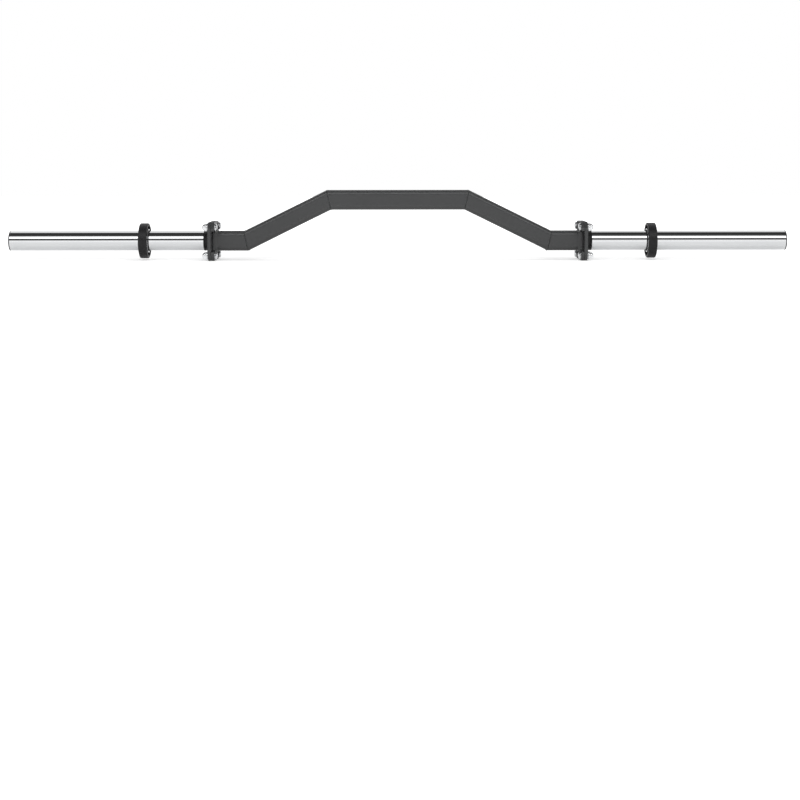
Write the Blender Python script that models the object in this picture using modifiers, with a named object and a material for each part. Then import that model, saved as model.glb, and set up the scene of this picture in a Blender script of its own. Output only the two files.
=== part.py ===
"""Cambered barbell: a mitred box-tube bar, with a bolted flange and a turning sleeve at each end.

Frame: X runs along the bar, Y from its front face to its back face, Z up from the floor on which
the flanges stand. The origin is on that floor, below the middle of the bar. Metres throughout.
"""
import math

import bmesh
import bpy
from mathutils import Matrix, Vector

# Box tubes of the bar
TUBE_SIDE = 0.050
TUBE_WALL = 0.004
TUBE_CORNER = 0.012
TUBE_CORNER_STEPS = 4

# Centre line of the bar, measured from its middle
CAMBER_RISE = 0.104
TOP_MITRE_X = 0.176
LOW_MITRE_X = 0.387
JOINT_X = 0.472

# Clearances
SEAM = 0.0003
RUNNING_FIT = 0.0003

# Bolts, washers and cap nuts of the flanges
BOLT_DIAMETER = 0.012
BOLT_FLATS = 0.019
BOLT_HEAD = 0.0020
BOLT_CROWN = 0.0027
BOLT_THREAD = 0.0080
HOLE_CLEARANCE = 0.0005
WASHER_DIAMETER = 0.020
WASHER_THICKNESS = 0.0020
NUT_HEX = 0.0055
NUT_DOME = 0.0080
DOME_SHOULDER = 0.0008
BOLT_FROM_TUBE_Y = 0.017
BOLT_FROM_TUBE_Z = 0.011

# Flange plates
PLATE_THICKNESS = 0.008
PLATE_SIDE_MARGIN = 0.009
PLATE_TOP_MARGIN = 0.003
PLATE_CORNER_MARGIN = 0.0015
WAIST_MARGIN = 0.0003
WAIST_CORNER = 0.008

# Sleeves and the spindles that they turn on
HALF_LENGTH = 0.992
SLEEVE_DIAMETER = 0.050
SLEEVE_WALL = 0.003
SLEEVE_CHAMFER = 0.001
COLLAR_LENGTH = 0.0141
COLLAR_PROUD = 0.0006
COLLAR_LIP = 0.0032
COLLAR_GROOVE_WIDTH = 0.0020
COLLAR_GROOVE_DEPTH = 0.0012
COLLAR_EDGE = 0.0008
COLLAR_SPIGOT = 0.040
SPINDLE_DIAMETER = 0.038
SPINDLE_WALL = 0.004
SPINDLE_SETBACK = 0.015
BUSH_LENGTH = 0.040
SNAP_RING = 0.0015
SNAP_DEPTH = 0.0012
SNAP_LIP = 0.0012
SNAP_OPENING_DEG = 30
SNAP_LAND = 0.004

# End plugs
PLUG_FLANGE = 0.002
PLUG_SPIGOT = 0.015
PLUG_EDGE = 0.0010

# Stop rings for the discs
LOAD_LENGTH = 0.3332
RING_DIAMETER = 0.090
RING_WIDTH = 0.022
RING_EDGE = 0.0025
RING_RIM = 0.0065
RING_RECESS = 0.010
RING_HUB_WALL = 0.0028
RING_BUSH_WALL = 0.0017
RING_BUSH_PROUD = 0.002

# Facets of the round pieces
RING_SEGMENTS = 40
TUBE_SEGMENTS = 24
WAIST_STEPS = 4
BOLT_SEGMENTS = 16
DOME_STEPS = 3
DOME_OVERLAP = 0.001

# Sizes that follow from the ones above
BOLT_Y = TUBE_SIDE / 2 + BOLT_FROM_TUBE_Y
BOLT_Z = TUBE_SIDE / 2 + BOLT_FROM_TUBE_Z
BOLT_PLACES = {
    "top_front": (BOLT_Z, -BOLT_Y), "top_back": (BOLT_Z, BOLT_Y),
    "bottom_front": (-BOLT_Z, -BOLT_Y), "bottom_back": (-BOLT_Z, BOLT_Y),
}
HOLE_RADIUS = BOLT_DIAMETER / 2 + HOLE_CLEARANCE
PLATE_HALF_Y = BOLT_Y + WASHER_DIAMETER / 2 + PLATE_SIDE_MARGIN
PLATE_HALF_Z = BOLT_Z + WASHER_DIAMETER / 2 + PLATE_TOP_MARGIN
AXIS_Z = PLATE_HALF_Z
OUTER_FACE = JOINT_X + PLATE_THICKNESS
INNER_FACE = JOINT_X - PLATE_THICKNESS
COLLAR_END = OUTER_FACE + SEAM + COLLAR_LENGTH
SLEEVE_START = COLLAR_END + SEAM
SLEEVE_END = HALF_LENGTH - PLUG_FLANGE - SEAM
SLEEVE_RADIUS = SLEEVE_DIAMETER / 2
SLEEVE_BORE = SLEEVE_RADIUS - SLEEVE_WALL
SPINDLE_RADIUS = SPINDLE_DIAMETER / 2
SPINDLE_END = SLEEVE_END - PLUG_SPIGOT - SPINDLE_SETBACK
SNAP_START = SPINDLE_END - SNAP_LAND - SNAP_RING
BUSH_END = SNAP_START - SEAM
RING_OUTER_X = HALF_LENGTH - LOAD_LENGTH
RING_INNER_X = RING_OUTER_X - RING_WIDTH

# Paints and metals: colour, roughness, metallic
FINISHES = {
    "anthracite_paint": ((0.068, 0.070, 0.072), 0.55, 0.0),
    "hard_chrome": ((0.80, 0.81, 0.82), 0.08, 1.0),
    "zinc_plate": ((0.62, 0.63, 0.64), 0.25, 1.0),
    "bare_steel": ((0.42, 0.42, 0.43), 0.35, 1.0),
    "black_nylon": ((0.012, 0.012, 0.013), 0.45, 0.0),
    "black_oxide": ((0.030, 0.030, 0.032), 0.40, 0.4),
    "bronze": ((0.50, 0.32, 0.14), 0.35, 1.0),
}


def clear_scene():
    """Remove every object of the scene."""
    for obj in list(bpy.data.objects):
        bpy.data.objects.remove(obj, do_unlink=True)


def new_collection(name):
    """Make a collection under the scene."""
    collection = bpy.data.collections.new(name)
    bpy.context.scene.collection.children.link(collection)
    return collection


def finish(name):
    """Return the named material, made the first time that it is asked for."""
    material = bpy.data.materials.get(name)
    if material:
        return material
    colour, roughness, metallic = FINISHES[name]
    material = bpy.data.materials.new(name)
    material.use_nodes = True
    shader = material.node_tree.nodes["Principled BSDF"]
    shader.inputs["Base Color"].default_value = (*colour, 1.0)
    shader.inputs["Roughness"].default_value = roughness
    shader.inputs["Metallic"].default_value = metallic
    return material


def add_piece(name, mesh, material, parent=None, smooth_deg=None):
    """Put a mesh in the scene as one named piece."""
    obj = bpy.data.objects.new(name, mesh)
    PARTS.objects.link(obj)
    obj.parent = parent
    if not mesh.materials:
        mesh.materials.append(finish(material))
    if smooth_deg:
        mesh.shade_smooth()
        mesh.set_sharp_from_angle(angle=math.radians(smooth_deg))
    return obj


def evaluated_mesh(obj):
    """Return a welded mesh of what an object's modifiers or curve make, and remove the object."""
    graph = bpy.context.evaluated_depsgraph_get()
    mesh = bpy.data.meshes.new_from_object(obj.evaluated_get(graph))
    bpy.data.objects.remove(obj, do_unlink=True)
    work = bmesh.new()
    work.from_mesh(mesh)
    bmesh.ops.remove_doubles(work, verts=work.verts, dist=1e-6)
    work.to_mesh(mesh)
    work.free()
    return mesh


def arc(centre, radius, start_deg, end_deg, steps):
    """Points along an arc, both ends included."""
    angles = [math.radians(start_deg + (end_deg - start_deg) * i / steps) for i in range(steps + 1)]
    return [(centre[0] + radius * math.cos(a), centre[1] + radius * math.sin(a)) for a in angles]


def circle(centre, radius, segments):
    """Points round a circle."""
    return arc(centre, radius, 0, 360, segments)[:-1]


def rounded_square(side, radius, steps):
    """Outline of a square whose corners are arcs."""
    centre = side / 2 - radius
    corners = [(centre, centre, 0), (-centre, centre, 90), (-centre, -centre, 180), (centre, -centre, 270)]
    points = []
    for x, y, start in corners:
        points += arc((x, y), radius, start, start + 90, steps)
    return points


def slab(outlines, bottom, top):
    """Flat plate between two heights: the first outline is its edge, the others are its holes."""
    curve = bpy.data.curves.new("outline", "CURVE")
    curve.dimensions = "2D"
    curve.fill_mode = "BOTH"
    curve.extrude = (top - bottom) / 2
    for outline in outlines:
        spline = curve.splines.new("POLY")
        spline.points.add(len(outline) - 1)
        for point, (x, y) in zip(spline.points, outline):
            point.co = (x, y, 0.0, 1.0)
        spline.use_cyclic_u = True
    obj = bpy.data.objects.new("outline", curve)
    bpy.context.scene.collection.objects.link(obj)
    mesh = evaluated_mesh(obj)
    bpy.data.curves.remove(curve)
    mesh.transform(Matrix.Translation((0, 0, (top + bottom) / 2)))
    return mesh


def turned(name, profile, material, parent, segments, on_axis=False):
    """Piece turned about its Z axis from a profile of (radius, height) points.

    The profile runs down its outer side. It is a closed loop, or, where on_axis is set, a line
    whose two ends lie on the axis.
    """
    count = len(profile)
    mesh = bpy.data.meshes.new(name)
    last = count - 1 if on_axis else count
    edges = [(i, (i + 1) % count) for i in range(last)]
    mesh.from_pydata([(r, 0, z) for r, z in profile], edges, [])
    obj = add_piece(name, mesh, material, parent)
    screw = obj.modifiers.new("turn", "SCREW")
    screw.steps = segments
    screw.render_steps = segments
    screw.use_merge_vertices = True
    screw.merge_threshold = 1e-6
    return obj


def bush_profile(bore, radius, bottom, top, edge):
    """Closed profile of a plain ring with chamfered outer edges."""
    return [
        (bore, top), (radius - edge, top), (radius, top - edge),
        (radius, bottom + edge), (radius - edge, bottom), (bore, bottom),
    ]


def mitre_shift(height, direction, up, normal, gap):
    """How far past the corner point a fibre of the tube runs, to end on the mitre plane."""
    return -(gap + height * up.dot(normal)) / direction.dot(normal)


def box_tube(name, start, end, start_normal, end_normal):
    """Hollow square tube between two points of the centre line, each end cut on its plane."""
    run = end - start
    direction = run.normalized()
    up = Vector((-direction.z, 0, direction.x))
    inner = TUBE_SIDE - 2 * TUBE_WALL
    outlines = [
        rounded_square(TUBE_SIDE, TUBE_CORNER, TUBE_CORNER_STEPS),
        rounded_square(inner, TUBE_CORNER - TUBE_WALL, TUBE_CORNER_STEPS),
    ]
    mesh = slab(outlines, 0, run.length)
    for vertex in mesh.vertices:
        if vertex.co.z > run.length / 2:
            vertex.co.z += mitre_shift(vertex.co.x, direction, up, end_normal, SEAM / 2)
        else:
            vertex.co.z -= mitre_shift(vertex.co.x, -direction, up, -start_normal, SEAM / 2)
    obj = add_piece(name, mesh, "anthracite_paint", smooth_deg=30)
    turn = Matrix((up, up.cross(-direction), direction)).transposed()
    obj.matrix_world = Matrix.Translation(start) @ turn.to_4x4()
    return obj


def build_bar():
    """Five mitred box tubes: a raised centre, two slopes and two low stubs."""
    top = AXIS_Z + CAMBER_RISE
    corners = [Vector((x, 0, z)) for x, z in (
        (-INNER_FACE + SEAM / 2, AXIS_Z), (-LOW_MITRE_X, AXIS_Z), (-TOP_MITRE_X, top),
        (TOP_MITRE_X, top), (LOW_MITRE_X, AXIS_Z), (INNER_FACE - SEAM / 2, AXIS_Z))]
    runs = [(b - a).normalized() for a, b in zip(corners, corners[1:])]
    inner_normals = [(a + b).normalized() for a, b in zip(runs, runs[1:])]
    normals = [runs[0]] + inner_normals + [runs[-1]]
    names = ["left_stub_tube", "left_slope_tube", "center_tube", "right_slope_tube", "right_stub_tube"]
    for i, name in enumerate(names):
        box_tube(name, corners[i], corners[i + 1], normals[i], normals[i + 1])


def plate_outline(waisted):
    """Edge of a flange plate, a rectangle with cut corners, in (height, depth) coordinates.

    The corners are cut just outside the washers. A waisted plate is notched on both sides down to
    the width of the box tube, between its upper and lower pair of washers.
    """
    reach = WASHER_DIAMETER / 2 + PLATE_CORNER_MARGIN
    cut = PLATE_HALF_Y + PLATE_HALF_Z - (BOLT_Y + BOLT_Z + reach * math.sqrt(2))
    notch = BOLT_Z - WASHER_DIAMETER / 2
    waist = TUBE_SIDE / 2 + WAIST_MARGIN
    quarter = [(PLATE_HALF_Z, PLATE_HALF_Y - cut), (PLATE_HALF_Z - cut, PLATE_HALF_Y)]
    if waisted:
        quarter += [(notch, PLATE_HALF_Y)]
        quarter += arc((notch - WAIST_CORNER, waist + WAIST_CORNER), WAIST_CORNER, 0, -90, WAIST_STEPS)
    back = quarter + [(-x, y) for x, y in reversed(quarter)]
    return back + [(x, -y) for x, y in reversed(back)]


def flange_plate(name, parent, bottom, top, waisted):
    """Flange plate with its four bolt holes; the outer plate has the spindle's bore as well."""
    outlines = [plate_outline(waisted)]
    outlines += [circle(place, HOLE_RADIUS, BOLT_SEGMENTS) for place in BOLT_PLACES.values()]
    if not waisted:
        outlines.append(circle((0, 0), SPINDLE_RADIUS + SEAM, TUBE_SEGMENTS))
    return add_piece(name, slab(outlines, bottom, top), "anthracite_paint", parent)


def prism(radius, bottom, top, sides):
    """Upright prism or cylinder about the Z axis, with a corner on its Y axis."""
    work = bmesh.new()
    place = Matrix.Translation((0, 0, (bottom + top) / 2))
    bmesh.ops.create_cone(work, cap_ends=True, segments=sides, radius1=radius, radius2=radius,
                          depth=top - bottom, matrix=place)
    mesh = bpy.data.meshes.new("prism")
    work.to_mesh(mesh)
    work.free()
    return mesh


def hexagon_prism(bottom, top):
    """Hexagon of a bolt head or a nut, with two of its flats square to the X axis."""
    return prism(BOLT_FLATS / math.sqrt(3), bottom, top, 6)


def crown(bottom, top, rise):
    """Rounded cap of a hexagon head or nut: a low cylinder under a quarter ellipse."""
    radius = BOLT_FLATS / 2 - DOME_SHOULDER
    steps = [math.radians(90 - 90 * i / DOME_STEPS) for i in range(DOME_STEPS + 1)]
    profile = [(radius * math.cos(a), top - rise + rise * math.sin(a)) for a in steps]
    profile[0] = (0, top)
    profile += [(radius, bottom), (0, bottom)]
    obj = turned("crown", profile, "hard_chrome", None, BOLT_SEGMENTS, on_axis=True)
    return evaluated_mesh(obj)


def combined(base, tool, operation):
    """Mesh of two meshes joined or cut by an exact Boolean."""
    holder = bpy.data.objects.new("base", base)
    cutter = bpy.data.objects.new("tool", tool)
    for obj in (holder, cutter):
        bpy.context.scene.collection.objects.link(obj)
    boolean = holder.modifiers.new("boolean", "BOOLEAN")
    boolean.object = cutter
    boolean.operation = operation
    boolean.solver = "EXACT"
    mesh = evaluated_mesh(holder)
    bpy.data.objects.remove(cutter, do_unlink=True)
    return mesh


def flipped(mesh):
    """Turn a mesh end for end, about its X axis."""
    mesh.transform(Matrix.Rotation(math.pi, 4, "X"))
    return mesh


def washer_mesh(bottom):
    """Plain washer under a bolt head or a cap nut."""
    outlines = [circle((0, 0), WASHER_DIAMETER / 2, BOLT_SEGMENTS), circle((0, 0), HOLE_RADIUS, BOLT_SEGMENTS)]
    return slab(outlines, bottom, bottom + WASHER_THICKNESS)


def bolt_mesh(head_top, shank_top):
    """Bolt with a crowned hexagon head, along Z; its crown points down."""
    hexagon = hexagon_prism(head_top - BOLT_HEAD, head_top)
    cap = flipped(crown(BOLT_HEAD - DOME_OVERLAP, BOLT_HEAD + BOLT_CROWN, BOLT_CROWN))
    cap.transform(Matrix.Translation((0, 0, head_top)))
    head = combined(hexagon, cap, "UNION")
    shank = prism(BOLT_DIAMETER / 2, head_top - DOME_OVERLAP, shank_top, BOLT_SEGMENTS)
    return combined(head, shank, "UNION")


def cap_nut_mesh(bottom, shank_top):
    """Cap nut along Z, with a blind bore that clears the bolt's end."""
    hexagon_top = bottom + NUT_HEX
    body = hexagon_prism(bottom, hexagon_top)
    cap = crown(hexagon_top - DOME_OVERLAP, hexagon_top + NUT_DOME, NUT_DOME)
    nut = combined(body, cap, "UNION")
    bore = prism(BOLT_DIAMETER / 2 + SEAM, bottom - DOME_OVERLAP, shank_top + SEAM, BOLT_SEGMENTS)
    return combined(nut, bore, "DIFFERENCE")


def fastener_meshes():
    """Meshes of one bolt, its two washers and its cap nut, shared by every bolt place."""
    inner_washer = INNER_FACE - SEAM - WASHER_THICKNESS
    outer_washer = OUTER_FACE + SEAM
    nut_bottom = outer_washer + WASHER_THICKNESS + SEAM
    shank_top = nut_bottom + BOLT_THREAD
    return {
        "bolt": (bolt_mesh(inner_washer - SEAM, shank_top), "hard_chrome"),
        "head_washer": (washer_mesh(inner_washer), "zinc_plate"),
        "nut_washer": (washer_mesh(outer_washer), "zinc_plate"),
        "cap_nut": (cap_nut_mesh(nut_bottom, shank_top), "hard_chrome"),
    }


def build_fasteners(side, sign, parent, meshes):
    """Four bolts from the inside, each with its washers and its cap nut."""
    for place, (height, depth) in BOLT_PLACES.items():
        for kind, (mesh, material) in meshes.items():
            obj = add_piece(f"{side}_{kind}_{place}", mesh, material, parent)
            obj.location = (-sign * height, depth, 0)


def build_spindle(side, parent):
    """Fixed tube that the sleeve turns on, with its grooved, flanged bush and its snap ring."""
    bore = SPINDLE_RADIUS - SPINDLE_WALL
    groove_top = SNAP_START + SNAP_RING + SEAM
    groove_bottom = SNAP_START - SEAM
    floor = SPINDLE_RADIUS - SNAP_DEPTH
    spindle = [
        (bore, SPINDLE_END), (SPINDLE_RADIUS, SPINDLE_END), (SPINDLE_RADIUS, groove_top),
        (floor, groove_top), (floor, groove_bottom), (SPINDLE_RADIUS, groove_bottom),
        (SPINDLE_RADIUS, JOINT_X + SEAM), (bore, JOINT_X + SEAM),
    ]
    turned(f"{side}_spindle", spindle, "bare_steel", parent, TUBE_SEGMENTS)

    radius = SLEEVE_RADIUS + COLLAR_PROUD
    bottom = OUTER_FACE + SEAM
    groove_end = COLLAR_END - COLLAR_LIP
    groove_start = groove_end - COLLAR_GROOVE_WIDTH
    root = radius - COLLAR_GROOVE_DEPTH
    inner = SPINDLE_RADIUS + SEAM
    spigot = SLEEVE_BORE - RUNNING_FIT
    collar = [
        (inner, COLLAR_END + COLLAR_SPIGOT), (spigot, COLLAR_END + COLLAR_SPIGOT),
        (spigot, COLLAR_END), (radius - COLLAR_EDGE, COLLAR_END), (radius, COLLAR_END - COLLAR_EDGE),
        (radius, groove_end), (root, groove_end), (root, groove_start),
        (radius, groove_start), (radius, bottom), (inner, bottom),
    ]
    turned(f"{side}_flanged_bush", collar, "black_nylon", parent, RING_SEGMENTS)

    open_half = SNAP_OPENING_DEG / 2
    outer_arc = arc((0, 0), SPINDLE_RADIUS + SNAP_LIP, open_half, 360 - open_half, TUBE_SEGMENTS)
    inner_arc = arc((0, 0), floor + SEAM, 360 - open_half, open_half, TUBE_SEGMENTS)
    ring = slab([outer_arc + inner_arc], SNAP_START, SNAP_START + SNAP_RING)
    add_piece(f"{side}_snap_ring", ring, "black_oxide", parent)


def build_sleeve(side, parent):
    """Turning unit: the sleeve, its outer bush, the end plug and the stop ring with its hub."""
    shell = bush_profile(SLEEVE_BORE, SLEEVE_RADIUS, SLEEVE_START, SLEEVE_END, SLEEVE_CHAMFER)
    turned(f"{side}_sleeve", shell, "hard_chrome", parent, RING_SEGMENTS)

    bore = SPINDLE_RADIUS + RUNNING_FIT
    radius = SLEEVE_BORE - SEAM
    loop = [(bore, BUSH_END), (radius, BUSH_END),
            (radius, BUSH_END - BUSH_LENGTH), (bore, BUSH_END - BUSH_LENGTH)]
    turned(f"{side}_outer_bush", loop, "bronze", parent, TUBE_SEGMENTS)

    plug = [
        (0, HALF_LENGTH), (SLEEVE_RADIUS - PLUG_EDGE, HALF_LENGTH), (SLEEVE_RADIUS, HALF_LENGTH - PLUG_EDGE),
        (SLEEVE_RADIUS, SLEEVE_END + SEAM), (radius, SLEEVE_END + SEAM),
        (radius, SLEEVE_END - PLUG_SPIGOT), (0, SLEEVE_END - PLUG_SPIGOT),
    ]
    turned(f"{side}_end_plug", plug, "black_nylon", parent, RING_SEGMENTS, on_axis=True)

    bush_bore = SLEEVE_RADIUS + SEAM
    bush_radius = bush_bore + RING_BUSH_WALL
    hub_bore = bush_radius + SEAM
    hub_radius = hub_bore + RING_HUB_WALL
    web_bore = hub_radius + SEAM
    ring_radius = RING_DIAMETER / 2
    rim_bore = ring_radius - RING_RIM
    recess_floor = RING_INNER_X + RING_RECESS
    loop = [(bush_bore, RING_OUTER_X), (bush_radius, RING_OUTER_X),
            (bush_radius, RING_INNER_X - RING_BUSH_PROUD), (bush_bore, RING_INNER_X - RING_BUSH_PROUD)]
    turned(f"{side}_ring_bush", loop, "black_nylon", parent, RING_SEGMENTS)
    loop = [(hub_bore, RING_OUTER_X), (hub_radius, RING_OUTER_X),
            (hub_radius, RING_INNER_X), (hub_bore, RING_INNER_X)]
    turned(f"{side}_ring_hub", loop, "hard_chrome", parent, RING_SEGMENTS)
    rim = [
        (web_bore, RING_OUTER_X), (ring_radius - RING_EDGE, RING_OUTER_X),
        (ring_radius, RING_OUTER_X - RING_EDGE), (ring_radius, RING_INNER_X + RING_EDGE),
        (ring_radius - RING_EDGE, RING_INNER_X), (rim_bore, RING_INNER_X),
        (rim_bore, recess_floor), (web_bore, recess_floor),
    ]
    turned(f"{side}_stop_ring", rim, "black_nylon", parent, RING_SEGMENTS)


def build_side(side, sign, meshes):
    """Everything from the flange outwards, about an axis empty whose Z axis points outwards."""
    axis = bpy.data.objects.new(f"{side}_axis", None)
    PARTS.objects.link(axis)
    axis.location = (0, 0, AXIS_Z)
    axis.rotation_euler = (0, sign * math.pi / 2, 0)
    flange_plate(f"{side}_inner_flange", axis, INNER_FACE, JOINT_X - SEAM / 2, True)
    flange_plate(f"{side}_outer_flange", axis, JOINT_X + SEAM / 2, OUTER_FACE, False)
    build_fasteners(side, sign, axis, meshes)
    build_spindle(side, axis)
    build_sleeve(side, axis)


clear_scene()
PARTS = new_collection("cambered_bar")
build_bar()
FASTENERS = fastener_meshes()
build_side("left", -1, FASTENERS)
build_side("right", 1, FASTENERS)
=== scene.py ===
"""Cambered barbell: fine surfaces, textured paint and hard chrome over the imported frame.

X runs along the bar, Y from its front face to its back face, and Z up from the floor.
Lengths are in metres.
"""
import math

import bmesh
import bpy
import numpy as np
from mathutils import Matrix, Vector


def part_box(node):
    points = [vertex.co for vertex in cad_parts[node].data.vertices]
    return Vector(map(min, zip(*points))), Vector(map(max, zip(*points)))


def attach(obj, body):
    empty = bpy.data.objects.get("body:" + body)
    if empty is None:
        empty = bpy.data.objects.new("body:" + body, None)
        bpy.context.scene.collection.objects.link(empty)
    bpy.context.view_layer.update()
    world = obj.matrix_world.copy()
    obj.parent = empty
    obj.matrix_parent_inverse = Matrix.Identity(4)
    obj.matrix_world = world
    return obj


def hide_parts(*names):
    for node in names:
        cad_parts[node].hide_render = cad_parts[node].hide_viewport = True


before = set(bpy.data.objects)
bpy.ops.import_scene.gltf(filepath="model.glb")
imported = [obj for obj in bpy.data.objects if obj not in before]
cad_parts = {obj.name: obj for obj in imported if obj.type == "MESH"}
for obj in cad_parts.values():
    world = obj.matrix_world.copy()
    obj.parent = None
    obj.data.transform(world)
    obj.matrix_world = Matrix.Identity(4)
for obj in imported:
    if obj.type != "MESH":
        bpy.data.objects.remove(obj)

# Box tubes
TUBE_HALF = 0.025
TUBE_WALL = 0.004
TUBE_CORNER = 0.012
TUBE_EDGE = 0.0004
TUBE_HOLD = 6 * TUBE_EDGE
SEAM = 0.0003

# Weld beads over the mitres; the sink and the shift are shares of the bead's radius
MITRE_BEAD = 0.0013
MITRE_SINK = 0.45
MITRE_SHIFT = 1.25
MITRE_RIPPLE = 0.2
MITRE_PITCH = 0.0042
MITRE_STEP = 0.0006

# Weld beads above and below the stub tubes
FILLET_BEAD = 0.0042
FILLET_RIPPLE = 0.12
FILLET_PITCH = 0.005
FILLET_SINK = 0.0004
FILLET_GAP = 0.0006
FILLET_STATIONS = 60

# Ground welds in the waists of the inner plates
WELD_TOE = 0.0060
WELD_PROUD = 0.0007
WELD_CORNER = 0.0020
WELD_BACK = 0.0015

# Flange plates
PLATE_THICKNESS = 0.008
PLATE_EASE = 0.0011
PLATE_CORNER_EASE = 0.0012
PLATE_CORNER_REACH = 0.0115
WAIST_CORNER = 0.0095
SPINDLE_HOLE = 0.0193
RIM_STEP = 0.0012
FACE_HOLD = 0.03
LEVELS = 20
LEVEL_RISE = 1.12
LEVEL_FALL = 0.18

# Bolts, washers and cap nuts
BOLT_RADIUS = 0.006
BOLT_HOLE = 0.0065
BOLT_TIP_CUT = 0.0006
BOLT_TIP_LENGTH = 0.0008
WASHER_EASE = 0.0005
HEAD_RISE = 0.0027
NUT_RISE = 0.0080
SEAT_CUT = 0.0012
SEAT_CUT_LENGTH = 0.0005
SHOULDER_LENGTH = 0.0009
SHOULDER_CUT = 0.0003
CROWN_INSET = 0.0008
BOLT_PLACES = ("top_front", "top_back", "bottom_front", "bottom_back")

# Sleeves with what sits in their ends; a bore is given as a radius, here and below
SLEEVE_RADIUS = 0.025
SLEEVE_BORE = 0.022
SLEEVE_END_EASE = 0.0012
SLEEVE_ROOT_EASE = 0.0008
INSERT_RADIUS = 0.0217
PLUG_EASE = 0.0016
PLUG_TAIL_EASE = 0.001
BUSH_TAIL_EASE = 0.0005

# Ridged collars
COLLAR_LIP = 0.0032
COLLAR_LIP_EASE = 0.0013
COLLAR_GROOVE = 0.0020
COLLAR_GROOVE_DEPTH = 0.0012
COLLAR_GROOVE_EASE = 0.0009
COLLAR_ROOT_EASE = 0.0008
GROOVE_FLANK = 0.0003

# Stop rings with their hubs and bushes
RING_BUSH_BORE = 0.0253
RING_BUSH_RADIUS = 0.0270
RING_BUSH_EASE = 0.0009
HUB_BORE = 0.0273
HUB_RADIUS = 0.0301
HUB_EASE = 0.0006
RING_BORE = 0.0304
RING_RADIUS = 0.045
RING_EASE = 0.0036
RECESS_RADIUS = 0.0385
RECESS_DEPTH = 0.010
RECESS_RIM_EASE = 0.0010
RECESS_FLOOR_EASE = 0.0008

# Reach of the curve at a turned edge that is hardly broken
SHARP = 0.0003

# Rounding of profiles: a curve's greatest share of a side, and how far the held points lie
EASE_ROOM = 0.42
EASE_HOLD = 1.12
CORNER_HOLD = 0.04

# Steps of the surfaces
CORNER_STEPS = 12
EASE_STEPS = 6
PLATE_EASE_STEPS = 4
CROWN_STEPS = 13
BEAD_STEPS = 16
ROUND_STEPS = 128
BOLT_STEPS = 72
MERGE_DISTANCE = 2e-6
SMOOTH_DEGREES = 28

# Centre line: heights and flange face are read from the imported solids
AXIS_Z = sum(p.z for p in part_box("right_sleeve")) / 2
TOP_Z = sum(p.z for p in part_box("center_tube")) / 2
INNER_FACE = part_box("right_inner_flange")[0].x
TOP_MITRE_X = 0.176
LOW_MITRE_X = 0.387
SIDES = {"left": -1, "right": 1}


# Surfaces


def mesh_of(name, grid):
    """Mesh of a grid of points: each cell is a face, and points that coincide are merged."""
    rows, columns = grid.shape[:2]
    corner = (np.arange(rows - 1)[:, None] * columns + np.arange(columns - 1)).reshape(-1, 1)
    faces = corner + np.array([0, columns, columns + 1, 1])
    mesh = bpy.data.meshes.new(name)
    mesh.from_pydata(grid.reshape(-1, 3).tolist(), [], faces.tolist())
    work = bmesh.new()
    work.from_mesh(mesh)
    bmesh.ops.remove_doubles(work, verts=work.verts, dist=MERGE_DISTANCE)
    bmesh.ops.recalc_face_normals(work, faces=work.faces)
    work.to_mesh(mesh)
    work.free()
    mesh.shade_smooth()
    mesh.set_sharp_from_angle(angle=math.radians(SMOOTH_DEGREES))
    return mesh


def piece(name, grid, material, body, nodes=()):
    """Put a grid's surface in the scene as a piece that rides on a body."""
    obj = bpy.data.objects.new(name, mesh_of(name, grid))
    bpy.context.scene.collection.objects.link(obj)
    obj.data.materials.append(material)
    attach(obj, body)
    if nodes:
        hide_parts(*nodes)


def ends(node):
    """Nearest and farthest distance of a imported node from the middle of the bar."""
    low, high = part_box(node)
    return sorted((abs(low.x), abs(high.x)))


def middle(node):
    """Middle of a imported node, in (depth, height)."""
    low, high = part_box(node)
    return (low.y + high.y) / 2, (low.z + high.z) / 2


def half_width(node):
    """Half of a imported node's size along Y."""
    low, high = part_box(node)
    return (high.y - low.y) / 2


def unit(vectors):
    """Rows of vectors at length one."""
    return vectors / np.linalg.norm(vectors, axis=1, keepdims=True)


def distance_run(path):
    """Distance run along a path up to each of its points."""
    return np.concatenate([[0], np.cumsum(np.linalg.norm(np.diff(path, axis=0), axis=1))])


def directions(path):
    """Direction of a closed path at each point, from the point before to the point after."""
    ahead = np.roll(path[:-1], -1, axis=0) - np.roll(path[:-1], 1, axis=0)
    return unit(np.vstack([ahead, ahead[:1]]))


def dense(path, step):
    """Points at even steps along a closed path."""
    length = distance_run(path)
    places = np.linspace(0, length[-1], int(length[-1] / step) + 1)
    return np.stack([np.interp(places, length, path[:, i]) for i in range(path.shape[1])], axis=-1)


def eased(points, reach, closed=True):
    """Round the corners of a profile.

    Each corner is a quadratic curve between the two points that lie its reach away along the
    sides, with one more point just beyond each end that holds the flats flat.
    """
    points = np.asarray(points, float)
    reach = np.broadcast_to(np.asarray(reach, float), len(points))[:, None]
    before = np.roll(points, 1, axis=0) - points
    after = np.roll(points, -1, axis=0) - points
    room_before = np.linalg.norm(before, axis=1, keepdims=True)
    room_after = np.linalg.norm(after, axis=1, keepdims=True)
    start = (before / room_before * np.minimum(reach, room_before * EASE_ROOM))[:, None]
    end = (after / room_after * np.minimum(reach, room_after * EASE_ROOM))[:, None]
    corner = points[:, None]
    s = np.linspace(0, 1, EASE_STEPS + 1)[None, :, None]
    curve = corner + (1 - s) ** 2 * start + s ** 2 * end
    held = np.concatenate([corner + EASE_HOLD * start, curve, corner + EASE_HOLD * end], 1)
    if closed:
        line = held.reshape(-1, 2)
        return np.vstack([line, line[:1]])
    return np.vstack([points[:1], held[1:-1].reshape(-1, 2), points[-1:]])


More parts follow.
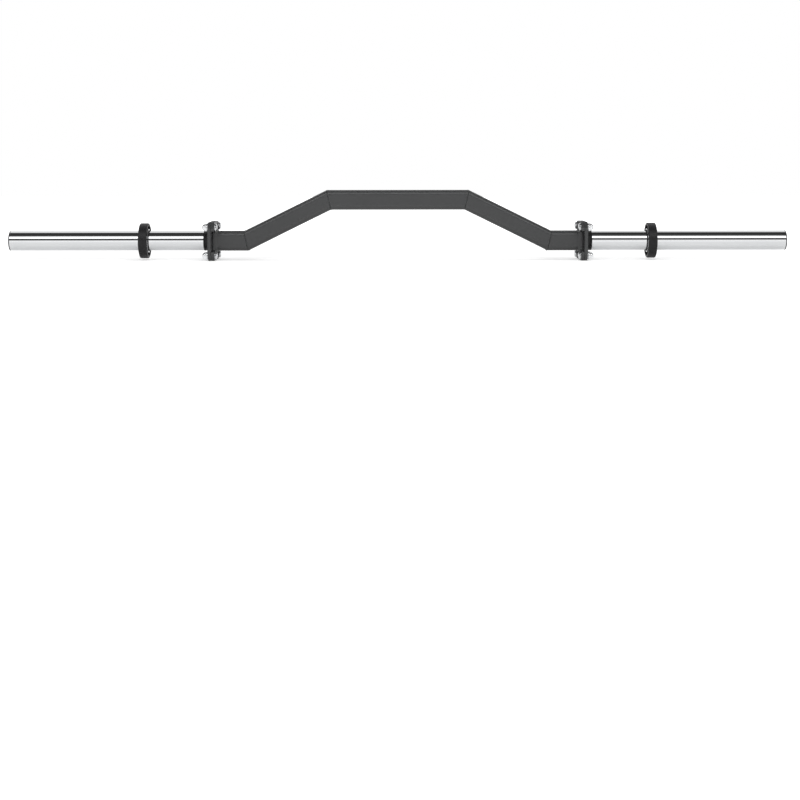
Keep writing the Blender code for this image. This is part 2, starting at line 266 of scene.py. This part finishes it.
def turned(profile, centre, sign, steps=ROUND_STEPS, flats=None):
    """Surface turned about an axis along X from a profile of (distance, radius).

    A point lies at sign times its distance along X, and at its radius from the centre in the
    direction of its angle. Where flats are given, the radius is no more than the hexagon's reach
    in that direction, half the flats over the cosine of the angle from the nearest flat.
    """
    turn = np.linspace(0, 2 * math.pi, steps + 1)
    distance = profile[:, 0][:, None] + 0 * turn
    radius = profile[:, 1][:, None] + 0 * turn
    if flats:
        from_flat = turn % (math.pi / 3) - math.pi / 6
        radius = np.minimum(radius, flats / 2 / np.cos(from_flat))
    y = centre[0] + radius * np.cos(turn)
    z = centre[1] + radius * np.sin(turn)
    return np.stack([sign * distance, y, z], axis=-1)


def square_section(half, radius):
    """Rounded square round a tube, in (depth, height).

    Each corner is a quarter circle. A point a little way along each flat, on both sides of the
    corner, holds the flat flat.
    """
    turn = np.linspace(0, math.pi / 2, CORNER_STEPS + 1)
    hold = radius * CORNER_HOLD
    centre = half - radius
    corner = np.stack([centre + radius * np.cos(turn), centre + radius * np.sin(turn)], axis=-1)
    corner = np.vstack([[(half, centre - hold)], corner, [(centre - hold, half)]])
    quarter = [corner]
    for _ in range(3):
        quarter.append(quarter[-1] @ np.array([[0, 1], [-1, 0]]))
    section = np.vstack(quarter)
    return np.vstack([section, section[:1]])


def tube_surface(start, end, start_cut, end_cut):
    """Hollow box tube between two points of the centre line, each end cut on its plane.

    A point lies at its depth along Y and its height along the tube's own up direction, and as far
    along the tube as takes it to the cutting plane through the corner, less half a seam. The
    stations run along the outside, back along the inside and round the walls at the ends.
    """
    run = (end - start) / np.linalg.norm(end - start)
    up = np.array([-run[2], 0, run[0]])
    across = np.array([0, 1.0, 0])
    outer = square_section(TUBE_HALF, TUBE_CORNER)
    inner = square_section(TUBE_HALF - TUBE_WALL, TUBE_CORNER - TUBE_WALL)
    stations = []
    for section, inset, at_end, back in (
            (outer, TUBE_EDGE, 0, 0), (outer, 0, 0, TUBE_EDGE), (outer, 0, 0, TUBE_HOLD),
            (outer, 0, 1, TUBE_HOLD), (outer, 0, 1, TUBE_EDGE), (outer, TUBE_EDGE, 1, 0),
            (inner, 0, 1, 0), (inner, 0, 0, 0), (outer, TUBE_EDGE, 0, 0)):
        corner, cut, way = (end, end_cut, -1) if at_end else (start, start_cut, 1)
        flat = section * (1 - inset / TUBE_HALF)
        place = flat[:, :1] * across + flat[:, 1:] * up
        slide = (way * SEAM / 2 - place @ cut) / (run @ cut) + way * back
        stations.append(corner + place + slide[:, None] * run)
    return np.array(stations)


def swollen(run, radius, ripple, pitch):
    """Radius of a weld bead by the distance run, which swells and shrinks as a weld's scales do.

    It is the radius times one less the ripple, plus the radius times the ripple times the size of
    a cosine that comes back to its greatest value once for each scale.
    """
    scales = max(1, round(run[-1] / pitch))
    return radius * (1 - ripple + ripple * np.abs(np.cos(math.pi * scales * run / run[-1])))


def bead(path, radius, ripple, pitch):
    """Weld bead along a closed path: a round section carried along it, with swollen radius."""
    ahead = directions(path)
    plane = np.linalg.svd(path - path.mean(0))[2][2]
    side = np.cross(plane, ahead)
    swell = swollen(distance_run(path), radius, ripple, pitch)
    turn = np.linspace(0, 2 * math.pi, BEAD_STEPS + 1)
    ring = np.cos(turn)[None, :, None] * side[:, None] + np.sin(turn)[None, :, None] * plane
    return path[:, None] + swell[:, None, None] * ring


def rod(line, radius, ripple, pitch):
    """Weld bead along an open line across the bar, with swollen radius and round ends."""
    run = np.linalg.norm(line - line[0], axis=1)
    swell = swollen(run, radius, ripple, pitch)
    from_end = np.minimum(run, run[-1] - run)
    swell *= np.sqrt(1 - (1 - np.clip(from_end / radius, 0, 1)) ** 2)
    turn = np.linspace(0, 2 * math.pi, BEAD_STEPS + 1)
    ring = np.stack([np.cos(turn), 0 * turn, np.sin(turn)], axis=-1)
    return line[:, None] + swell[:, None, None] * ring


def ground_weld(sign):
    """Weld that fills the waist of the inner plate, ground flush with the tube.

    A rounded square runs from the tube's own section at the toe to a fuller one at the root, on to
    the outer plate and back inside itself.
    """
    toe = INNER_FACE - WELD_TOE
    joint = INNER_FACE + PLATE_THICKNESS
    inside = TUBE_HALF - TUBE_WALL / 2
    stations = []
    # Distance from the middle of the bar, half width and corner radius of each station
    for x, half, radius in (
            (toe, TUBE_HALF - SEAM, TUBE_CORNER),
            (INNER_FACE - WELD_TOE * 0.6, TUBE_HALF + SEAM / 2, TUBE_CORNER * 0.85),
            (INNER_FACE - WELD_TOE * 0.3, TUBE_HALF + SEAM, TUBE_CORNER * 0.55),
            (INNER_FACE - SEAM, TUBE_HALF + WELD_PROUD, WELD_CORNER),
            (joint - WELD_BACK, TUBE_HALF + WELD_PROUD, WELD_CORNER),
            (joint - WELD_BACK / 3, TUBE_HALF - SEAM, WELD_CORNER),
            (joint - WELD_BACK / 3, inside, WELD_CORNER),
            (toe, inside, TUBE_CORNER),
            (toe, TUBE_HALF - SEAM, TUBE_CORNER)):
        section = square_section(half, radius)
        stations.append(np.insert(section, 0, sign * x, axis=1) + (0, 0, AXIS_Z))
    return np.array(stations)


def plate_rim(half_y, half_z, bolt, notch):
    """Outline of a flange plate in (depth, height), with rounded corners and even steps.

    The corners are cut at forty-five degrees, at a set reach beyond the bolt's middle. Where a
    notch height is given, the plate is waisted below it down to the tube. One quarter is mirrored
    to the other three.
    """
    cut = half_y + half_z - (bolt[0] + bolt[1] + PLATE_CORNER_REACH * math.sqrt(2))
    quarter = [(half_y - cut, half_z), (half_y, half_z - cut)]
    reach = [PLATE_CORNER_EASE, PLATE_CORNER_EASE]
    if notch:
        quarter += [(half_y, notch), (TUBE_HALF + SEAM, notch)]
        reach += [PLATE_CORNER_EASE, WAIST_CORNER]
    quarter = np.array(quarter)
    right = np.vstack([quarter, quarter[::-1] * (1, -1)])
    outline = np.vstack([right, right[::-1] * (-1, 1)])
    return dense(eased(outline, np.tile(reach + reach[::-1], 2)), RIM_STEP)


def plate_surface(rim, near, far, bore):
    """Plate whose edge follows a rim of (depth, height), between two distances along X.

    The rim is carried through the thickness and drawn in along a quarter circle at both faces.
    From there straight lines run to the bore. Where there is no bore, they run to even levels on
    the middle line: the level is the point's share of the rim's height, times 1.12 less 0.18 of
    the share squared, which is a little above a waist's own height and a little below the top.
    """
    way = math.copysign(1, far - near)
    turn = np.linspace(0, math.pi / 2, PLATE_EASE_STEPS + 1)
    depth = PLATE_EASE * way * (1 - np.cos(turn))
    drawn_in = PLATE_EASE * (1 - np.sin(turn))
    distance = np.concatenate([near + depth, far - depth[::-1]])
    inset = np.concatenate([drawn_in, drawn_in[::-1]])[:, None, None]
    along = directions(rim)
    inward = np.stack([-along[:, 1], along[:, 0]], axis=-1)
    inward *= -np.sign(np.sum(inward * rim, axis=1, keepdims=True).mean())
    edge = rim[None] + inset * inward[None]
    if bore:
        hole = unit(rim) * bore
    else:
        top = np.abs(rim[:, 1]).max()
        share = rim[:, 1] / top
        level = share * (LEVEL_RISE - LEVEL_FALL * share ** 2)
        height = np.round(level * LEVELS) / LEVELS * top
        hole = np.stack([0 * height, height], axis=-1)
    hole = hole[None]
    near_hold = (1 - FACE_HOLD) * edge[:1] + FACE_HOLD * hole
    far_hold = (1 - FACE_HOLD) * edge[-1:] + FACE_HOLD * hole
    rings = np.concatenate([hole, near_hold, edge, far_hold, hole, hole])
    across = np.concatenate([[near, near], distance, [far, far, near]])
    x = np.broadcast_to(across[:, None, None], (*rings.shape[:2], 1))
    return np.concatenate([x, rings[..., :1], rings[..., 1:] + AXIS_Z], axis=-1)


def crowned(base, tip, corner, flats, rise):
    """Profile of a hexagon with a crown, from its seat to its tip, in (distance, radius).

    The seat's rim and the shoulder are cut back from the corners. The crown is a quarter ellipse
    as high as the rise, from a little inside the flats to the axis.
    """
    way = math.copysign(1, tip - base)
    shoulder = tip - way * rise
    radius = flats / 2 - CROWN_INSET
    turn = np.linspace(0, math.pi / 2, CROWN_STEPS + 1)
    lower = [(base, corner - SEAT_CUT), (base + way * SEAT_CUT_LENGTH, corner),
             (shoulder - way * SHOULDER_LENGTH, corner), (shoulder, flats / 2 - SHOULDER_CUT),
             (shoulder, radius)]
    upper = np.stack([shoulder + way * rise * np.sin(turn), radius * np.cos(turn)], axis=-1)
    upper[-1, 1] = 0
    return np.vstack([lower, upper[1:]])


# Materials


def add(tree, kind, sockets=None, **settings):
    """Add a node with its settings; a socket takes a value, or a link from another node's output."""
    node = tree.nodes.new(kind)
    for key, value in settings.items():
        setattr(node, key, value)
    for key, value in (sockets or {}).items():
        if isinstance(value, bpy.types.NodeSocket):
            tree.links.new(value, node.inputs[key])
        else:
            node.inputs[key].default_value = value
    return node


def where(tree, kind="Object"):
    """Output of the Texture Coordinate node: a place on the object, or a direction."""
    return add(tree, "ShaderNodeTexCoord").outputs[kind]


def maths(tree, operation, *values, **settings):
    """Result of a calculation with values or other nodes' outputs."""
    return add(tree, "ShaderNodeMath", dict(enumerate(values)), operation=operation, **settings).outputs[0]


def ranged(tree, value, span, results):
    """Result that runs from the first to the last as the value crosses the span."""
    return add(tree, "ShaderNodeMapRange", {
        "Value": value, "From Min": span[0], "From Max": span[1],
        "To Min": results[0], "To Max": results[1]}).outputs[0]


def noise(tree, place, size, detail, roughness=0.5):
    """Noise over a place, 0 to 1."""
    return add(tree, "ShaderNodeTexNoise", {
        "Vector": place, "Scale": size, "Detail": detail, "Roughness": roughness}).outputs["Fac"]


def effect(name, inputs, output):
    """Empty shader node group with named number inputs and one number output."""
    group = bpy.data.node_groups.new(name, "ShaderNodeTree")
    for socket, value in inputs.items():
        made = group.interface.new_socket(socket, in_out="INPUT", socket_type="NodeSocketFloat")
        made.default_value = value
    group.interface.new_socket(output, in_out="OUTPUT", socket_type="NodeSocketFloat")
    return group, group.nodes.new("NodeGroupInput").outputs, group.nodes.new("NodeGroupOutput").inputs


def mottle_effect():
    """Slow change over the surface, as of paint thickness or of handled metal: 0 to 1."""
    group, given, made = effect("mottle", {"Size": 20.0, "Contrast": 0.5}, "Amount")
    cloud = noise(group, where(group), given["Size"], 4.0, 0.6)
    centred = maths(group, "SUBTRACT", cloud, 0.5)
    stretched = maths(group, "MULTIPLY_ADD", centred, given["Contrast"], 0.5, use_clamp=True)
    group.links.new(stretched, made["Amount"])
    return group


def grain_effect():
    """Fine pebbled height, as of a textured powder coat or of moulded plastic."""
    group, given, made = effect("grain", {"Size": 1200.0, "Softness": 0.5}, "Height")
    place = where(group)
    fine = noise(group, place, given["Size"], 2.0)
    broad = noise(group, place, maths(group, "MULTIPLY", given["Size"], 0.3), 1.0)
    both = add(group, "ShaderNodeMix", {0: given["Softness"], 2: fine, 3: broad}, data_type="FLOAT")
    group.links.new(both.outputs[0], made["Height"])
    return group


def turning_effect():
    """Fine rings round an axis along X, as a lathe and sliding discs leave: 0 to 1."""
    group, given, made = effect("turning", {"Rings": 900.0, "Drift": 12.0}, "Amount")
    parts = add(group, "ShaderNodeSeparateXYZ", {0: where(group)}).outputs
    along = maths(group, "MULTIPLY", parts["X"], given["Rings"])
    deep = maths(group, "MULTIPLY", parts["Y"], given["Drift"])
    high = maths(group, "MULTIPLY", parts["Z"], given["Drift"])
    squeezed = add(group, "ShaderNodeCombineXYZ", {0: along, 1: deep, 2: high})
    group.links.new(noise(group, squeezed.outputs[0], 1.0, 3.0), made["Amount"])
    return group


MOTTLE = mottle_effect()
GRAIN = grain_effect()
TURNING = turning_effect()


def use(tree, group, **values):
    """Output of an effect that is placed in a material with its own values."""
    node = tree.nodes.new("ShaderNodeGroup")
    node.node_tree = group
    for key, value in values.items():
        node.inputs[key].default_value = value
    return node.outputs[0]


def new_material(name, **sockets):
    """New material with a Principled shader and its plain values."""
    material = bpy.data.materials.new(name)
    material.use_nodes = True
    shader = material.node_tree.nodes["Principled BSDF"]
    for key, value in sockets.items():
        shader.inputs[key.replace("_", " ")].default_value = value
    return material, material.node_tree, shader


def vary(tree, shader, amount, colours, roughness):
    """Let an amount run the base colour and the roughness from their first to their last value."""
    first, last = ((*colour, 1) for colour in colours)
    colour = add(tree, "ShaderNodeMix", {0: amount, 6: first, 7: last}, data_type="RGBA")
    tree.links.new(colour.outputs[2], shader.inputs["Base Color"])
    spread = ranged(tree, amount, (0.0, 1.0), roughness)
    tree.links.new(spread, shader.inputs["Roughness"])
    return spread


def raised(tree, shader, height, strength, depth):
    """Bump the surface by a height."""
    bump = add(tree, "ShaderNodeBump", {"Height": height, "Strength": strength, "Distance": depth})
    tree.links.new(bump.outputs[0], shader.inputs["Normal"])


def powder_coat():
    """Anthracite paint with a fine pebbled texture, duller with dust where it faces up."""
    material, tree, shader = new_material("anthracite_paint", Specular_IOR_Level=0.5, Coat_Roughness=0.30)
    cloud = use(tree, MOTTLE, Size=14.0, Contrast=1.2)
    rough = vary(tree, shader, cloud, ((0.034, 0.035, 0.036), (0.043, 0.044, 0.045)), (0.38, 0.46))
    upward = add(tree, "ShaderNodeSeparateXYZ", {0: where(tree, "Normal")}).outputs["Z"]
    dusted = (0.75, 1.0)
    tree.links.new(ranged(tree, upward, dusted, (0.35, 0.0)), shader.inputs["Coat Weight"])
    dull = ranged(tree, upward, dusted, (0.0, 0.4))
    tree.links.new(maths(tree, "ADD", rough, dull), shader.inputs["Roughness"])
    raised(tree, shader, use(tree, GRAIN, Size=1500.0, Softness=0.4), strength=0.25, depth=0.0002)
    return material


def plated(name, dark, light, roughness, rings):
    """Plated metal: faint turning rings and the haze of handling, darker where it is rougher."""
    material, tree, shader = new_material(name, Metallic=1.0)
    haze = use(tree, MOTTLE, Size=9.0, Contrast=1.6)
    lines = use(tree, TURNING, Rings=rings, Drift=10.0)
    vary(tree, shader, maths(tree, "MULTIPLY", haze, lines), (light, dark), roughness)
    raised(tree, shader, lines, strength=0.04, depth=0.00004)
    return material


def moulded(name, dark, light, roughness, grain, strength):
    """Moulded black plastic or rubber with its fine skin."""
    material, tree, shader = new_material(name, Specular_IOR_Level=0.25)
    vary(tree, shader, use(tree, MOTTLE, Size=25.0, Contrast=1.3), (dark, light), roughness)
    raised(tree, shader, use(tree, GRAIN, Size=grain, Softness=0.5), strength, depth=0.0002)
    return material


PAINT = powder_coat()
CHROME = plated("hard_chrome", (0.66, 0.67, 0.68), (0.72, 0.73, 0.74), (0.05, 0.11), 1400.0)
BOLT_CHROME = plated("polished_chrome", (0.70, 0.71, 0.72), (0.78, 0.79, 0.80), (0.07, 0.14), 300.0)
NUT_NICKEL = plated("satin_nickel", (0.84, 0.85, 0.86), (0.92, 0.93, 0.94), (0.22, 0.30), 300.0)
ZINC = plated("zinc_plate", (0.50, 0.51, 0.52), (0.62, 0.63, 0.64), (0.24, 0.36), 500.0)
STEEL = plated("bare_steel", (0.34, 0.34, 0.35), (0.46, 0.46, 0.47), (0.30, 0.42), 900.0)
BRONZE = plated("sintered_bronze", (0.40, 0.25, 0.11), (0.52, 0.34, 0.16), (0.32, 0.45), 700.0)
OXIDE = plated("black_oxide", (0.022, 0.022, 0.024), (0.036, 0.036, 0.038), (0.34, 0.46), 400.0)
RING_BLACK = moulded("ring_black", (0.012, 0.012, 0.013), (0.019, 0.019, 0.020), (0.36, 0.46), 2200.0, 0.18)
NYLON = moulded("black_nylon", (0.014, 0.014, 0.015), (0.022, 0.022, 0.023), (0.38, 0.50), 1800.0, 0.22)


# Pieces of the bar


def painted(name, grid, nodes=()):
    """Put a painted piece of the bar in the scene."""
    piece(name, grid, PAINT, "bar", nodes)


def make_tubes():
    """The five mitred tubes and the weld beads over their joints."""
    inner = INNER_FACE - SEAM / 2
    corners = np.array([(-inner, 0, AXIS_Z), (-LOW_MITRE_X, 0, AXIS_Z), (-TOP_MITRE_X, 0, TOP_Z),
                        (TOP_MITRE_X, 0, TOP_Z), (LOW_MITRE_X, 0, AXIS_Z), (inner, 0, AXIS_Z)])
    runs = unit(np.diff(corners, axis=0))
    cuts = unit(np.vstack([runs[:1], runs[:-1] + runs[1:], runs[-1:]]))
    names = ("left_stub_tube", "left_slope_tube", "center_tube", "right_slope_tube", "right_stub_tube")
    for i, name in enumerate(names):
        painted(f"{name}_skin", tube_surface(corners[i], corners[i + 1], cuts[i], cuts[i + 1]), [name])

    section = square_section(TUBE_HALF - MITRE_BEAD * MITRE_SINK, TUBE_CORNER)
    for i, name in enumerate(("left_low", "left_top", "right_top", "right_low"), start=1):
        height = np.array([-cuts[i][2], 0, cuts[i][0]]) / (runs[i] @ cuts[i])
        away = -np.sign(corners[i][0]) * MITRE_BEAD * MITRE_SHIFT * runs[i]
        path = corners[i] + away + section[:, :1] * np.array([0, 1.0, 0]) + section[:, 1:] * height
        grid = bead(dense(path, MITRE_STEP), MITRE_BEAD, MITRE_RIPPLE, MITRE_PITCH)
        grid[..., 2] = np.minimum(grid[..., 2], TOP_Z + TUBE_HALF)
        painted(f"{name}_mitre_weld", grid)


def make_flange(side, sign):
    """Pair of flange plates with eased edges, and the welds of the stub tube."""
    washer = f"{side}_head_washer_top_back"
    bolt_y, bolt_z = middle(washer)
    bolt = (bolt_y, bolt_z - AXIS_Z)
    washer_foot = bolt[1] - half_width(washer)
    for which, notch, bore in (("inner", washer_foot, 0), ("outer", 0, SPINDLE_HOLE)):
        node = f"{side}_{which}_flange"
        low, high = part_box(node)
        near, far = ends(node)
        rim = plate_rim(high.y, (high.z - low.z) / 2, bolt, notch)
        painted(f"{node}_plate", plate_surface(rim, sign * near, sign * far, bore), [node])
    painted(f"{side}_flush_weld", ground_weld(sign))
    for level, way in (("top", 1), ("bottom", -1)):
        across = np.linspace(-1, 1, FILLET_STATIONS) * (TUBE_HALF - TUBE_CORNER / 2)
        root = np.full_like(across, sign * (INNER_FACE - FILLET_GAP))
        seat = np.full_like(across, AXIS_Z + way * (TUBE_HALF - FILLET_SINK))
        line = np.stack([root, across, seat], axis=-1)
        painted(f"{side}_{level}_fillet", rod(line, FILLET_BEAD, FILLET_RIPPLE, FILLET_PITCH))


def make_fasteners(side, sign):
    """Crowned bolts on the inside, domed cap nuts on the outside, and their washers."""
    low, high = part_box(f"{side}_bolt_top_back")
    flats = high.z - low.z
    corner = flats / math.sqrt(3)
    for place in BOLT_PLACES:
        centre = middle(f"{side}_head_washer_{place}")
        seat = ends(f"{side}_head_washer_{place}")[0] - SEAM
        for kind in ("head_washer", "nut_washer"):
            node = f"{side}_{kind}_{place}"
            near, far = ends(node)
            radius = half_width(node)
            profile = eased([(far, BOLT_HOLE), (far, radius), (near, radius), (near, BOLT_HOLE)], WASHER_EASE)
            grid = turned(profile, centre, sign, BOLT_STEPS)
            piece(f"{node}_disc", grid, ZINC, "bar", [node])

        node = f"{side}_bolt_{place}"
        tip, end = ends(node)
        shank = [(end, 0), (end, BOLT_RADIUS - BOLT_TIP_CUT), (end - BOLT_TIP_LENGTH, BOLT_RADIUS),
                 (seat, BOLT_RADIUS)]
        profile = np.vstack([shank, crowned(seat, tip, corner, flats, HEAD_RISE)])
        grid = turned(profile, centre, sign, BOLT_STEPS, flats)
        piece(f"{node}_hex", grid, BOLT_CHROME, "bar", [node])

        node = f"{side}_cap_nut_{place}"
        base, tip = ends(node)
        bore = [(end + SEAM, 0), (end + SEAM, BOLT_RADIUS + SEAM), (base, BOLT_RADIUS + SEAM)]
        profile = np.vstack([bore, crowned(base, tip, corner, flats, NUT_RISE)])
        grid = turned(profile, centre, sign, BOLT_STEPS, flats)
        piece(f"{node}_dome", grid, NUT_NICKEL, "bar", [node])


def make_sleeve(side, sign):
    """Sleeve, end plug, ridged collar and the stop ring with its hub and bush."""
    sleeve_unit = f"{side}_sleeve_unit"

    def add_turned(node, corners, material, body, closed=True):
        """Piece turned about the sleeve's axis from corners of (distance, radius, reach of curve)."""
        corners = np.array(corners)
        grid = turned(eased(corners[:, :2], corners[:, 2], closed), (0, AXIS_Z), sign)
        piece(f"{side}_{node}_turned", grid, material, body, [f"{side}_{node}"])

    sleeve_near, sleeve_far = ends(f"{side}_sleeve")
    add_turned("sleeve", [
        (sleeve_far, SLEEVE_BORE, SHARP), (sleeve_far, SLEEVE_RADIUS, SLEEVE_END_EASE),
        (sleeve_near, SLEEVE_RADIUS, SLEEVE_ROOT_EASE), (sleeve_near, SLEEVE_BORE, SHARP),
    ], CHROME, sleeve_unit)

    near, far = ends(f"{side}_end_plug")
    seat = sleeve_far + SEAM
    add_turned("end_plug", [
        (far, 0, 0), (far, SLEEVE_RADIUS, PLUG_EASE), (seat, SLEEVE_RADIUS, SHARP),
        (seat, INSERT_RADIUS, SHARP), (near, INSERT_RADIUS, PLUG_TAIL_EASE), (near, 0, 0),
    ], NYLON, sleeve_unit, closed=False)

    near, far = ends(f"{side}_flanged_bush")
    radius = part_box(f"{side}_flanged_bush")[1].y
    floor = radius - COLLAR_GROOVE_DEPTH
    lip = sleeve_near - SEAM
    groove = lip - COLLAR_LIP
    root = groove - COLLAR_GROOVE
    add_turned("flanged_bush", [
        (far, SPINDLE_HOLE, SHARP), (far, INSERT_RADIUS, BUSH_TAIL_EASE), (lip, INSERT_RADIUS, SHARP),
        (lip, radius, COLLAR_LIP_EASE), (groove, radius, COLLAR_GROOVE_EASE),
        (groove - GROOVE_FLANK, floor, SHARP), (root + GROOVE_FLANK, floor, SHARP),
        (root, radius, COLLAR_GROOVE_EASE), (near, radius, COLLAR_ROOT_EASE),
        (near, SPINDLE_HOLE, SHARP),
    ], NYLON, "bar")

    near, far = ends(f"{side}_ring_bush")
    add_turned("ring_bush", [
        (far, RING_BUSH_BORE, SHARP), (far, RING_BUSH_RADIUS, SHARP),
        (near, RING_BUSH_RADIUS, RING_BUSH_EASE), (near, RING_BUSH_BORE, HUB_EASE),
    ], NYLON, sleeve_unit)

    near, far = ends(f"{side}_ring_hub")
    add_turned("ring_hub", [
        (far, HUB_BORE, SHARP), (far, HUB_RADIUS, SHARP),
        (near, HUB_RADIUS, HUB_EASE), (near, HUB_BORE, HUB_EASE),
    ], CHROME, sleeve_unit)

    near, far = ends(f"{side}_stop_ring")
    floor = near + RECESS_DEPTH
    add_turned("stop_ring", [
        (far, RING_BORE, SHARP), (far, RING_RADIUS, RING_EASE), (near, RING_RADIUS, RING_EASE),
        (near, RECESS_RADIUS, RECESS_RIM_EASE), (floor, RECESS_RADIUS, RECESS_FLOOR_EASE),
        (floor, RING_BORE, SHARP),
    ], RING_BLACK, sleeve_unit)


def finish_hidden(side):
    """Metals of the solids inside the sleeve."""
    for node, material in (("spindle", STEEL), ("outer_bush", BRONZE), ("snap_ring", OXIDE)):
        for slot in bpy.data.objects[f"{side}_{node}"].material_slots:
            slot.material = material


# Studio

WHITE = (1, 1, 1, 1)

# Greys in reflections, by the angle in degrees from the horizon ahead, over the top, to the back
WORLD_BANDS = (
    (-180, 0.9), (6, 0.95), (11, 0.08), (28.5, 0.11), (31, 2.40), (50.5, 2.40), (54, 0.20), (60, 0.11),
    (72, 0.05), (106, 0.022), (117, 0.95), (140, 0.95), (155, 0.7), (180, 0.9))
WORLD_LIGHT = 0.55

FLOOR_HALF = 6
FLOOR_LINES = 25
FLOOR_PALE = (0.80, 0.80, 0.80, 1)
FLOOR_DIM = (0.40, 0.40, 0.40, 1)
FLOOR_OVAL = (0.35, 1.0, 0.0)
FLOOR_SPAN = (0.4, 1.4)
FLOOR_GLOW = (0.46, 1.1)
AHEAD_SPAN = (-0.50, -0.10)
AHEAD_GLOW = (0.50, 0.27)

LAMP_AIM = (0, 0, 0.1)

CAMERA_PLACE = (0.0, -3.83, 0.264)
CAMERA_DEGREES = (90 - 3.2, 0.062, -0.088)
CAMERA_LENS = 67.385
CAMERA_SENSOR = 36.0
CAMERA_SHIFT_Y = -0.1999


def ramp(tree, value, stops):
    """Grey by an angle in radians, straight between the stops of (degrees, grey)."""
    node = add(tree, "ShaderNodeValToRGB", {0: ranged(tree, value, (-math.pi, math.pi), (0.0, 1.0))})
    marks = node.color_ramp.elements
    while len(marks) < len(stops):
        marks.new(0.5)
    for mark, (degrees, grey) in zip(marks, stops):
        mark.position = degrees / 360 + 0.5
        mark.color = (grey, grey, grey, 1)
    return node.outputs[0]


def by_ray(tree, others, reflected, seen):
    """Shader that differs between the eye, reflections and all other rays."""
    path = add(tree, "ShaderNodeLightPath").outputs
    unseen = add(tree, "ShaderNodeMixShader", {0: path["Is Glossy Ray"], 1: others, 2: reflected})
    both = add(tree, "ShaderNodeMixShader", {0: path["Is Camera Ray"], 1: unseen.outputs[0], 2: seen})
    return both.outputs[0]


def make_world():
    """White to the eye, and even soft light.

    Reflections see bands instead: pale below the horizon, dark just above it ahead, then a strip
    light, dark overhead, and a pale back wall.
    """
    world = bpy.data.worlds.new("studio")
    bpy.context.scene.world = world
    world.use_nodes = True
    tree = world.node_tree
    tree.nodes.clear()
    parts = add(tree, "ShaderNodeSeparateXYZ", {0: where(tree, "Generated")}).outputs
    ahead = maths(tree, "MULTIPLY", parts["Y"], -1.0)
    bands = ramp(tree, maths(tree, "ARCTAN2", parts["Z"], ahead), WORLD_BANDS)
    lit, seen, mirrored = (
        add(tree, "ShaderNodeBackground", {"Color": colour, "Strength": strength}).outputs[0]
        for colour, strength in ((WHITE, WORLD_LIGHT), (WHITE, 1.0), (bands, 1.0)))
    add(tree, "ShaderNodeOutputWorld", {0: by_ray(tree, lit, mirrored, seen)})


def make_floor():
    """White floor under the flanges, which keeps the bar's shadow.

    To the eye it glows more with the distance from the bar, in ovals, until it is plain white. To
    reflections it glows more ahead of the bar. Other rays find it dim.
    """
    across = np.linspace(-FLOOR_HALF, FLOOR_HALF, FLOOR_LINES)
    x, y = np.meshgrid(across, across)
    grid = np.stack([x, y, np.full_like(x, -SEAM)], axis=-1)
    floor = bpy.data.objects.new("floor", mesh_of("floor", grid))
    bpy.context.scene.collection.objects.link(floor)
    material = bpy.data.materials.new("floor_white")
    material.use_nodes = True
    tree = material.node_tree
    tree.nodes.clear()
    pale = add(tree, "ShaderNodeBsdfDiffuse", {"Color": FLOOR_PALE}).outputs[0]
    dim = add(tree, "ShaderNodeBsdfDiffuse", {"Color": FLOOR_DIM}).outputs[0]

    def glowing(value, span, glow):
        """The pale floor with a glow that runs from the first to the last as the value crosses the span."""
        light = add(tree, "ShaderNodeEmission", {"Color": WHITE, "Strength": ranged(tree, value, span, glow)})
        return add(tree, "ShaderNodeAddShader", {0: pale, 1: light.outputs[0]}).outputs[0]

    place = where(tree)
    oval = add(tree, "ShaderNodeVectorMath", {0: place, 1: FLOOR_OVAL}, operation="MULTIPLY")
    reach = add(tree, "ShaderNodeVectorMath", {0: oval.outputs[0]}, operation="LENGTH").outputs["Value"]
    seen = glowing(reach, FLOOR_SPAN, FLOOR_GLOW)
    ahead = add(tree, "ShaderNodeSeparateXYZ", {0: place}).outputs["Y"]
    mirrored = glowing(ahead, AHEAD_SPAN, AHEAD_GLOW)
    add(tree, "ShaderNodeOutputMaterial", {0: by_ray(tree, dim, mirrored, seen)})
    floor.data.materials.append(material)


def make_lamp(name, place, size, power):
    """Soft rectangular lamp that faces the middle of the bar."""
    light = bpy.data.lights.new(name, "AREA")
    light.shape = "RECTANGLE"
    light.size, light.size_y = size
    light.energy = power
    lamp = bpy.data.objects.new(name, light)
    bpy.context.scene.collection.objects.link(lamp)
    lamp.location = place
    x, y, z = (p - q for p, q in zip(place, LAMP_AIM))
    lamp.rotation_euler = (math.atan2(math.hypot(x, y), z), 0, math.atan2(y, x) + math.pi / 2)
    lamp.visible_glossy = False


def make_camera():
    """Camera in front of the middle of the bar, a little above it, looking slightly down."""
    data = bpy.data.cameras.new("camera")
    data.lens = CAMERA_LENS
    data.shift_y = CAMERA_SHIFT_Y
    data.sensor_width = CAMERA_SENSOR
    camera = bpy.data.objects.new("camera", data)
    bpy.context.scene.collection.objects.link(camera)
    camera.location = CAMERA_PLACE
    camera.rotation_euler = [math.radians(degrees) for degrees in CAMERA_DEGREES]
    bpy.context.scene.camera = camera


bpy.context.scene.view_settings.view_transform = "Standard"
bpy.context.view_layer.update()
make_camera()
make_world()
make_floor()
make_lamp("front_strip", place=(0.0, -3.2, 2.3), size=(4.5, 1.4), power=70)
make_lamp("top_fill", place=(0.0, 0.4, 3.0), size=(3.0, 1.5), power=18)
make_tubes()
for side, sign in SIDES.items():
    make_flange(side, sign)
    make_fasteners(side, sign)
    make_sleeve(side, sign)
    finish_hidden(side)
